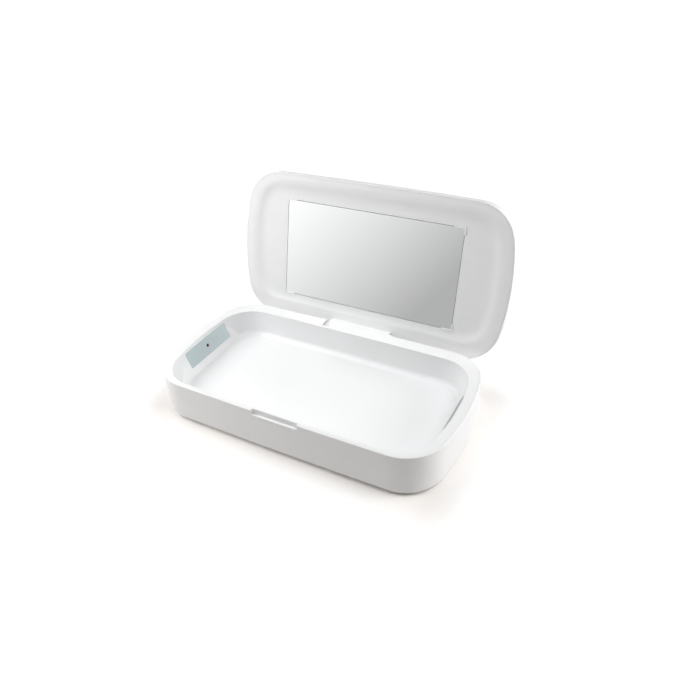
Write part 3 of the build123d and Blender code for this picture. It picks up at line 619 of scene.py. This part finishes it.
# %% Trees in plain Python
class Recipe:
    """A Geometry Nodes tree with named sizes."""

    def __init__(self, name, sizes):
        self.tree = bpy.data.node_groups.new(name, "GeometryNodeTree")
        face = self.tree.interface
        face.new_socket("Geometry", in_out="INPUT", socket_type="NodeSocketGeometry")
        for label, kind in sizes.items():
            face.new_socket(label, in_out="INPUT", socket_type="NodeSocket" + kind)
        face.new_socket("Geometry", in_out="OUTPUT", socket_type="NodeSocketGeometry")
        self.start = self.tree.nodes.new("NodeGroupInput")

    def size(self, label):
        return self.start.outputs[label]

    def node(self, kind, settings=None, sockets=None, output=0):
        made = self.tree.nodes.new(kind)
        for setting, value in (settings or {}).items():
            setattr(made, setting, value)
        for name, value in (sockets or {}).items():
            for source in value if isinstance(value, list) else [value]:
                if isinstance(source, bpy.types.NodeSocket):
                    self.tree.links.new(source, made.inputs[name])
                else:
                    made.inputs[name].default_value = source
        return made.outputs[output]

    def grid(self, item):
        """Copies of an item on a grid, as real mesh with the given material, to the end."""
        points = self.node(
            "GeometryNodeMeshGrid", None,
            {"Size X": self.size("Spread X"), "Size Y": self.size("Spread Y"),
             "Vertices X": self.size("Columns"), "Vertices Y": self.size("Rows")},
        )
        copies = self.node(
            "GeometryNodeInstanceOnPoints", None, {"Points": points, "Instance": item}
        )
        real = self.node("GeometryNodeRealizeInstances", None, {"Geometry": copies})
        done = self.node(
            "GeometryNodeSetMaterial", None, {"Geometry": real, "Material": self.size("Material")}
        )
        end = self.tree.nodes.new("NodeGroupOutput")
        self.tree.links.new(done, end.inputs["Geometry"])

    def cook(self, mesh, **sizes):
        """The tree's result on a mesh, as a plain mesh. Sizes are in metres or counts."""
        holder = bpy.data.objects.new("holder", mesh)
        bpy.context.scene.collection.objects.link(holder)
        modifier = holder.modifiers.new("recipe", "NODES")
        modifier.node_group = self.tree
        for item in self.tree.interface.items_tree:
            label = item.name.replace(" ", "_").lower()
            if item.in_out == "INPUT" and label in sizes:
                modifier[item.identifier] = sizes[label]
        seen = holder.evaluated_get(bpy.context.evaluated_depsgraph_get())
        result = bpy.data.meshes.new_from_object(seen)
        holder.modifiers.remove(modifier)
        bpy.data.objects.remove(holder)
        return result


grid_sizes = {
    "Spread X": "Float", "Spread Y": "Float", "Columns": "Int", "Rows": "Int",
    "Material": "Material",
}
rows = Recipe("rows_of_copies", grid_sizes)
rows.grid(rows.size("Geometry"))
print("rows of copies:", len(rows.tree.nodes), "nodes")

# %% Screw tree
threaded = 0.9          # share of the shank's length that has a thread
thread_end = -0.95      # where the thread ends, as a share of the length
shank_sides, turn_steps, ridge_sides = 20, 18, 4
screws = Recipe(
    "cross_head_screws",
    {
        "Shank": "Float", "Length": "Float", "Turns": "Float", "Thread": "Float",
        "Slot Length": "Float", "Slot Width": "Float", "Head": "Float", **grid_sizes,
    },
)


def screw_sum(operation, first, second):
    return screws.node("ShaderNodeMath", {"operation": operation}, {0: first, 1: second})


core_radius = screw_sum("SUBTRACT", screws.size("Shank"), screws.size("Thread"))
core = screws.node(
    "GeometryNodeMeshCylinder", None,
    {"Vertices": shank_sides, "Radius": core_radius, "Depth": screws.size("Length")},
)
half_down = screws.node(
    "ShaderNodeCombineXYZ", None, {"Z": screw_sum("MULTIPLY", screws.size("Length"), -0.5)}
)
core = screws.node("GeometryNodeTransform", None, {"Geometry": core, "Translation": half_down})
helix = screws.node(
    "GeometryNodeCurveSpiral", None,
    {"Resolution": turn_steps, "Rotations": screws.size("Turns"),
     "Start Radius": core_radius, "End Radius": core_radius,
     "Height": screw_sum("MULTIPLY", screws.size("Length"), threaded)},
)
full_down = screws.node(
    "ShaderNodeCombineXYZ", None,
    {"Z": screw_sum("MULTIPLY", screws.size("Length"), thread_end)},
)
helix = screws.node("GeometryNodeTransform", None, {"Geometry": helix, "Translation": full_down})
ridge = screws.node(
    "GeometryNodeCurvePrimitiveCircle", None,
    {"Resolution": ridge_sides, "Radius": screws.size("Thread")},
)
thread = screws.node(
    "GeometryNodeCurveToMesh", None, {"Curve": helix, "Profile Curve": ridge, "Fill Caps": True}
)
bars = []
for long_side, short_side in (("X", "Y"), ("Y", "X")):
    bar_size = screws.node(
        "ShaderNodeCombineXYZ", None,
        {long_side: screws.size("Slot Length"), short_side: screws.size("Slot Width"),
         "Z": screws.size("Head")},
    )
    bars.append(screws.node("GeometryNodeMeshCube", None, {"Size": bar_size}))
bar_lift = screws.node("ShaderNodeCombineXYZ", None, {"Z": screws.size("Head")})
bars = [
    screws.node("GeometryNodeTransform", None, {"Geometry": bar, "Translation": bar_lift})
    for bar in bars
]
cut_head = screws.node(
    "GeometryNodeMeshBoolean", {"operation": "DIFFERENCE", "solver": "EXACT"},
    {"Mesh 1": screws.size("Geometry"), "Mesh 2": bars},
)
screws.grid(screws.node("GeometryNodeJoinGeometry", None, {"Geometry": [cut_head, core, thread]}))
print("screws:", len(screws.tree.nodes), "nodes")

# %% [markdown]
# ## The screws
# Three sizes: four under the feet, four in the main board and six behind the mirror. Their heads
# are pans with a rounded top. The thread is cut into the shank, so its crests are as wide as the
# shank of the solid, and the screw stays in its bore. Only the smallest ones, in the main board,
# end a little past their solids: the last turn of the thread is 0.04 mm longer than the shank.


# %% Screws
steel = finishes["steel"]
thread_share = 0.11              # of the shank's diameter
slot_length_share, slot_width_share = 0.56, 0.13   # of the head's diameter


def screw_set(head, head_height, shank, length, pitch, columns, spread_x, spread_y):
    """Two rows of screws, their heads standing on height 0. Sizes are in millimetres."""
    pan = round_stack(
        [(head, 0), (head, head_height * 0.45), (head * 0.94, head_height * 0.72),
         (head * 0.78, head_height * 0.92), (head * 0.5, head_height)]
    )
    return screws.cook(
        pan, shank=shank / 2 * mm, length=length * mm, turns=length * threaded / pitch,
        thread=shank * thread_share * mm, slot_length=head * slot_length_share * mm,
        slot_width=head * slot_width_share * mm, head=head_height * mm,
        spread_x=spread_x * mm, spread_y=spread_y * mm, columns=columns, rows=2, material=steel,
    )


foot_screw_seat = 3.8            # where the heads meet the base, above the table
foot_screws = screw_set(
    head=5.0, head_height=1.8, shank=2.6, length=7.4, pitch=0.9,
    columns=2, spread_x=2 * 86.0, spread_y=2 * 35.5,
)
to_base = at(0, 0, foot_screw_seat) @ box_middle @ upside_down
piece("foot_screws", "base", ["base_screws"], [(foot_screws, steel, to_base)])

mirror_screw_seat = 39.15        # where they meet the lid, above the table with the lid closed
mirror_screws = screw_set(
    head=4.6, head_height=1.4, shank=2.6, length=7.0, pitch=0.9,
    columns=3, spread_x=2 * 56.0, spread_y=2 * 26.0,
)
to_lid = open_lid @ at(0, 0, mirror_screw_seat) @ box_middle @ upside_down
piece("mirror_seat_screws", "lid", ["lid_screws"], [(mirror_screws, steel, to_lid)])

board_low, board_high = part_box("main_board")
board_middle = Matrix.Translation(
    ((board_low[0] + board_high[0]) / 2, (board_low[1] + board_high[1]) / 2, board_high[2])
)
circuit_screws = screw_set(
    head=3.6, head_height=1.4, shank=2.0, length=3.6, pitch=0.7,
    columns=2, spread_x=28.0, spread_y=33.0,
)
piece(
    "circuit_board_screws", "base", ["board_screws"],
    [(circuit_screws, steel, board_middle)],
)

# %% [markdown]
# ## The feet
# Each foot is a pad of grey rubber, sunk in the base, with a tread of round ribs across its sole.
# The ribs are one rounded bar on a row, and the finished foot is then set on a grid of four.

# %% Feet
rubber = finishes["rubber_grey"]
foot_length, foot_width, foot_height = 25.0, 12.0, 1.8
foot_bevel = 0.4                 # round the pad's underside
sole_height = 0.4                # the pad's own underside, above the tread's
rib_pitch, rib_count = 1.9, 8
pad = stack(
    [(foot_width - 2 * foot_bevel, foot_length - 2 * foot_bevel, foot_width / 2 - foot_bevel,
      sole_height),
     (foot_width, foot_length, foot_width / 2, sole_height + foot_bevel),
     (foot_width, foot_length, foot_width / 2, foot_height)]
)
rib = stack(
    [(8.2, 0.5, 0.24, 0), (8.8, 1.0, 0.48, 0.14), (9.0, 1.2, 0.58, sole_height + 0.1)]
)
tread = rows.cook(
    rib, spread_x=0.0, spread_y=rib_pitch * (rib_count - 1) * mm,
    columns=1, rows=rib_count, material=rubber,
)
foot = bmesh.new()
foot.from_mesh(pad)
foot.from_mesh(tread)
one_foot = bpy.data.meshes.new("one_foot")
foot.to_mesh(one_foot)
foot.free()
feet = rows.cook(
    one_foot, spread_x=feet_high[0] - feet_low[0] - foot_width * mm,
    spread_y=feet_high[1] - feet_low[1] - foot_length * mm, columns=2, rows=2, material=rubber,
)
piece("treaded_feet", "base", ["rubber_feet"], [(feet, rubber, box_middle)])

# %% [markdown]
# ## Contacts and components
# The socket's tongue has twelve gold contacts on each face. On the board, the controller has legs
# on its four sides, the capacitors have tinned ends, the inductor is a ferrite drum on a square
# foot, and each plug has four tinned contacts on its top. They are out of sight in the closed
# tub and show only when it is taken apart.

# %% Contacts and board components
gold = speckled(
    "contact_gold", (0.86, 0.66, 0.33), (0.78, 0.58, 0.27), 0.22, 0.2, 0.001, metallic=1.0
)
tin = speckled(
    "solder_tin", (0.74, 0.74, 0.73), (0.66, 0.66, 0.66), 0.30, 0.2, 0.003, metallic=1.0
)
ferrite = speckled(
    "ferrite_grey", (0.085, 0.085, 0.090), (0.060, 0.060, 0.064), 0.60, 0.25, 0.010
)
capacitor_tan = speckled("capacitor_tan", (0.44, 0.33, 0.21), (0.38, 0.28, 0.18), 0.40, 0.3, 0.002)
plug_ivory = speckled("plug_ivory", (0.78, 0.76, 0.68), (0.72, 0.70, 0.62), 0.45, 0.4, 0.004)
epoxy_black = finishes["black_plastic"]

usb_low, usb_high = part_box("usb_socket")
tongue_half = 0.35               # half the tongue's thickness
contact_out = 0.6                # from the socket's middle towards its mouth
contact_pitch, contact_count = 0.44, 12
blade = stack([(0.26, 4.6, 0.05, -0.03), (0.26, 4.6, 0.05, 0.03)])
contacts = rows.cook(
    blade, spread_x=contact_pitch * (contact_count - 1) * mm, spread_y=0.0,
    columns=contact_count, rows=1, material=gold,
)
socket_middle = [(low + high) / 2 for low, high in zip(usb_low, usb_high)]
contact_parts = [
    (contacts, gold, Matrix.Translation(socket_middle) @ at(0, contact_out, i * tongue_half))
    for i in (1, -1)
]
piece("socket_contacts", "base", [], contact_parts)

board_x, board_y = (v / mm for v in board_middle.translation[:2])
board_top = board_middle.translation[2] / mm


def on_board(x, y, turn=0):
    """A place on the board's top, in millimetres from the board's middle."""
    return at(board_x + x, board_y + y, board_top) @ Matrix.Rotation(radians(turn), 4, "Z")


component_parts = []
plug_length, plug_width, plug_height = 5.0, 4.4, 3.0
plug_shell = stack(
    [(plug_length, plug_width, 0.2, 0), (plug_length, plug_width, 0.2, plug_height - 0.4),
     (plug_length - 0.5, plug_width - 0.5, 0.2, plug_height - 0.02)]
)
pin = stack([(0.9, 0.5, 0.1, plug_height - 0.04), (0.9, 0.5, 0.1, plug_height)])
pins_apart_x, pins_apart_y = 2.0, 1.6
pins = rows.cook(
    pin, spread_x=pins_apart_x * mm, spread_y=pins_apart_y * mm, columns=2, rows=2, material=tin
)
plug_places = ((-15.5, -11.5), (-15.5, -6.1), (15.5, -11.5))   # from the board's middle
for plug_x, plug_y in plug_places:
    place = on_board(plug_x, plug_y)
    component_parts += [(plug_shell, plug_ivory, place), (pins, tin, place)]

controller_x = -5.0              # from the board's middle
leg_pitch, leg_count, leg_rows_apart = 0.65, 8, 6.2
controller = stack([(5.6, 5.6, 0.1, 0.12), (5.9, 5.9, 0.1, 0.5), (5.6, 5.6, 0.1, 1.0)])
leg = stack([(0.28, 0.75, 0.05, 0), (0.28, 0.75, 0.05, 0.16), (0.28, 0.60, 0.05, 0.5)])
legs = rows.cook(
    leg, spread_x=leg_pitch * (leg_count - 1) * mm, spread_y=leg_rows_apart * mm,
    columns=leg_count, rows=2, material=tin,
)
for turn in (0, 90):
    component_parts.append((legs, tin, on_board(controller_x, 0, turn)))
component_parts.append((controller, epoxy_black, on_board(controller_x, 0)))

inductor_x = 7.0
inductor_base = stack([(8.0, 8.0, 1.5, 0), (8.0, 8.0, 1.5, 0.7), (7.6, 7.6, 1.5, 0.9)])
inductor_drum = round_stack([(6.4, 0.9), (6.4, 2.9), (7.4, 3.0), (7.4, 3.45), (7.0, 3.6)])
component_parts += [
    (inductor_base, epoxy_black, on_board(inductor_x, 0)),
    (inductor_drum, ferrite, on_board(inductor_x, 0)),
]

capacitor_y, end_out = -13.0, 1.35   # their row, and from a body's middle to its tinned ends
capacitor = stack([(2.3, 1.5, 0.05, 0.06), (2.3, 1.5, 0.05, 1.14)])
capacitor_end = stack([(0.5, 1.6, 0.08, 0), (0.5, 1.6, 0.08, 1.2)])
capacitors_span = 18.0           # from the first body's middle to the last's
capacitor_row = {"spread_x": capacitors_span * mm, "spread_y": 0.0, "columns": 4, "rows": 1}
bodies = rows.cook(capacitor, material=capacitor_tan, **capacitor_row)
ends = rows.cook(capacitor_end, material=tin, **capacitor_row)
component_parts.append((bodies, capacitor_tan, on_board(0, capacitor_y)))
component_parts += [(ends, tin, on_board(i * end_out, capacitor_y)) for i in (1, -1)]
piece("board_components", "base", ["board_parts"], component_parts)

# %% [markdown]
# ## What the mirror leaves out
# The open mirror faces the studio's wall of light, with the brightly lit tray below it. The tray's
# picture would fill the mirror's lower part and burn out, so everything on the base and the
# button is hidden from gloss. It has to be all of it: with the shell alone hidden, the mirror
# would show the boards inside.

# %% Keep the base out of the mirror
kept_out = [item for item in bpy.data.objects if item.get("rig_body") in ("base", "button")]
for item in kept_out:
    item.visible_glossy = False
print("kept out of the mirror:", len(kept_out))

# %% [markdown]
# ## The floor and its glow
# White products are photographed on white paper that is lit until it burns out. The paper's
# bounce would also flood the front of the box, so the burning out is left to a second sheet, a
# hair above the paper, that only the camera sees: it is clear beside the box and glows further
# off. Its share of glow grows with the distance from a rectangle under the box. Both sheets are
# clear from below, so that the underside can be looked at.


# %% Floor
sheet_size = 12.0                # metres


def flat_sheet(name, z):
    mesh = bpy.data.meshes.new(name)
    half = sheet_size / 2
    corners = [(-half, -half, z), (half, -half, z), (half, half, z), (-half, half, z)]
    mesh.from_pydata(corners, [], [(0, 1, 2, 3)])
    made = bpy.data.objects.new(name, mesh)
    bpy.context.scene.collection.objects.link(made)
    made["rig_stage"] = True
    return made


paper_height, glow_height = -0.05 * mm, 0.15 * mm
paper = flat_sheet("paper", paper_height)
paper_finish = Finish("paper")
paper_cloud = 60.0               # mm
paper_gloss, paper_gloss_spread = 0.9, 0.04
paper_clouds = paper_finish.noise(paper_finish.place(), paper_cloud)
paper_finish.colour(
    paper_finish.blend(paper_clouds, opaque(0.918, 0.887, 0.858), opaque(0.908, 0.877, 0.848))
)
paper_finish.roughness(paper_clouds * paper_gloss_spread + paper_gloss)
from_below = paper_finish.node("ShaderNodeNewGeometry", output="Backfacing")
paper_front = Wire(paper_finish, paper_finish.shader.outputs["BSDF"])
paper_clear = paper_finish.node("ShaderNodeBsdfTransparent")
paper_finish.surface(from_below, paper_front, paper_clear)
paper.data.materials.append(paper_finish.material)
paper.visible_glossy = False

glow_half = Vector((104, 54)) * mm   # half the rectangle
glow_start = 1 * mm              # from the rectangle to where the glow begins
glow_run = 34 * mm               # and on to where it is full
glow_strength = 1.1              # just past white
glow_sheet = flat_sheet("paper_glow", glow_height)
glow = Finish("paper_glow")
spot = glow.node(
    "ShaderNodeMapping", None, {"Vector": glow.place(), "Location": (0.0, -box_y, 0.0)}
)
beyond_x = glow.maths("ABSOLUTE", glow.axis(spot, "X")) - glow_half.x
beyond_y = glow.maths("ABSOLUTE", glow.axis(spot, "Y")) - glow_half.y
outside_x = glow.maths("MAXIMUM", beyond_x, 0.0)
outside_y = glow.maths("MAXIMUM", beyond_y, 0.0)
away = glow.maths("SQRT", outside_x * outside_x + outside_y * outside_y)
share = glow.node(
    "ShaderNodeMapRange",
    {"interpolation_type": "SMOOTHSTEP"},
    {"Value": away, "From Min": glow_start, "From Max": glow_start + glow_run},
)
share = share * (1 - glow.node("ShaderNodeNewGeometry", output="Backfacing"))
clear = glow.node("ShaderNodeBsdfTransparent")
bright = glow.node("ShaderNodeEmission", None, {"Strength": glow_strength})
glow.surface(share, clear, bright)
glow_sheet.data.materials.append(glow.material)
for kind in ("diffuse", "glossy", "transmission", "volume_scatter", "shadow"):
    setattr(glow_sheet, "visible_" + kind, False)
glow_full = round((glow_start + glow_run) / mm)
print("glow: half the rectangle", in_mm(glow_half), "and full", glow_full, "mm outside it")

# %% [markdown]
# ## Softboxes
# Four lights do it. Two small ones stand close at the left, one nearly square to the end and one
# round towards the front, so their light falls off along the front and up the lid. Two large ones
# stand twice as far off at the right: a low one behind the end, which picks out the rims and
# leaves the front wall dark just before its corner, and a high one that fills the tray.


# %% Lights
aim_point = Vector((0, -10, 40)) * mm


def softbox(name, turn, height, distance, size, watts):
    """A square area light: degrees round from the front and up, metres away."""
    light = bpy.data.lights.new(name, "AREA")
    light.shape = "SQUARE"
    light.size = size
    light.energy = watts
    a, h = radians(turn), radians(height)
    arm = Vector((sin(a) * cos(h), -cos(a) * cos(h), sin(h))) * distance
    aim = (-arm).to_track_quat("-Z", "Y").to_matrix().to_4x4()
    made = bpy.data.objects.new(name, light)
    made.matrix_world = Matrix.Translation(aim_point + arm) @ aim
    bpy.context.scene.collection.objects.link(made)


near, near_size = 0.45, 0.22
far, far_size = 0.90, 0.45
for name, turn, height, distance, size, watts in (
    ("softbox_left", -75, 35, near, near_size, 0.9),
    ("softbox_front_left", -45, 35, near, near_size, 0.6),
    ("softbox_right", 120, 12, far, far_size, 5.0),
    ("softbox_high", 90, 60, far, far_size, 4.3),
):
    softbox(name, turn, height, distance, size, watts)
print("softboxes:", len(bpy.data.lights))

# %% [markdown]
# ## What the mirror sees
# A mirror shows the room in front of it. Here that is a plain wall of light that is brightest at
# the left and overhead and falls off to the right and downwards. It is the world's colour, worked
# out from the direction. Matt surfaces don't see it, because the softboxes do the lighting, and
# the camera sees a plain grey in its place, where it looks past the paper.

# %% World
wall_level = 0.68       # brightness of the wall of light, a little left of straight ahead
wall_aside = 0.33       # how far left that is
wall_rightward = -2.15  # how the brightness changes as the direction turns to the right
wall_upward = 1.4       # and as it turns up
wall_dimmest, wall_brightest = 0.47, 1.1
behind = 0.80           # the plain grey that the camera sees

world = bpy.data.worlds.new("studio")
world.use_nodes = True
sky = Shading(world.node_tree)
direction = sky.node("ShaderNodeTexCoord", output="Generated")
sideways = (sky.axis(direction, "X") + wall_aside) * wall_rightward
wall = sideways + sky.axis(direction, "Z") * wall_upward + wall_level
wall = sky.maths("MINIMUM", sky.maths("MAXIMUM", wall, wall_dimmest), wall_brightest)
seen = sky.node("ShaderNodeLightPath", output="Is Camera Ray")
level = wall * (1 - seen) + seen * behind
sky.links.new(level.socket, sky.nodes["Background"].inputs["Strength"])
sky.nodes["Background"].inputs["Color"].default_value = opaque(1, 1, 1)
bpy.context.scene.world = world
world.cycles_visibility.diffuse = False   # the scene has to have the world first
bpy.context.scene.view_settings.view_transform = "Standard"
print("wall of light from", wall_dimmest, "to", wall_brightest)

# %% [markdown]
# ## Sizes, and the end
# The box of the dressed scene is printed, to set beside the box of the solids printed at the start.

# %% Print the sizes
seen_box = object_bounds()
print("seen box:", in_mm(*seen_box))
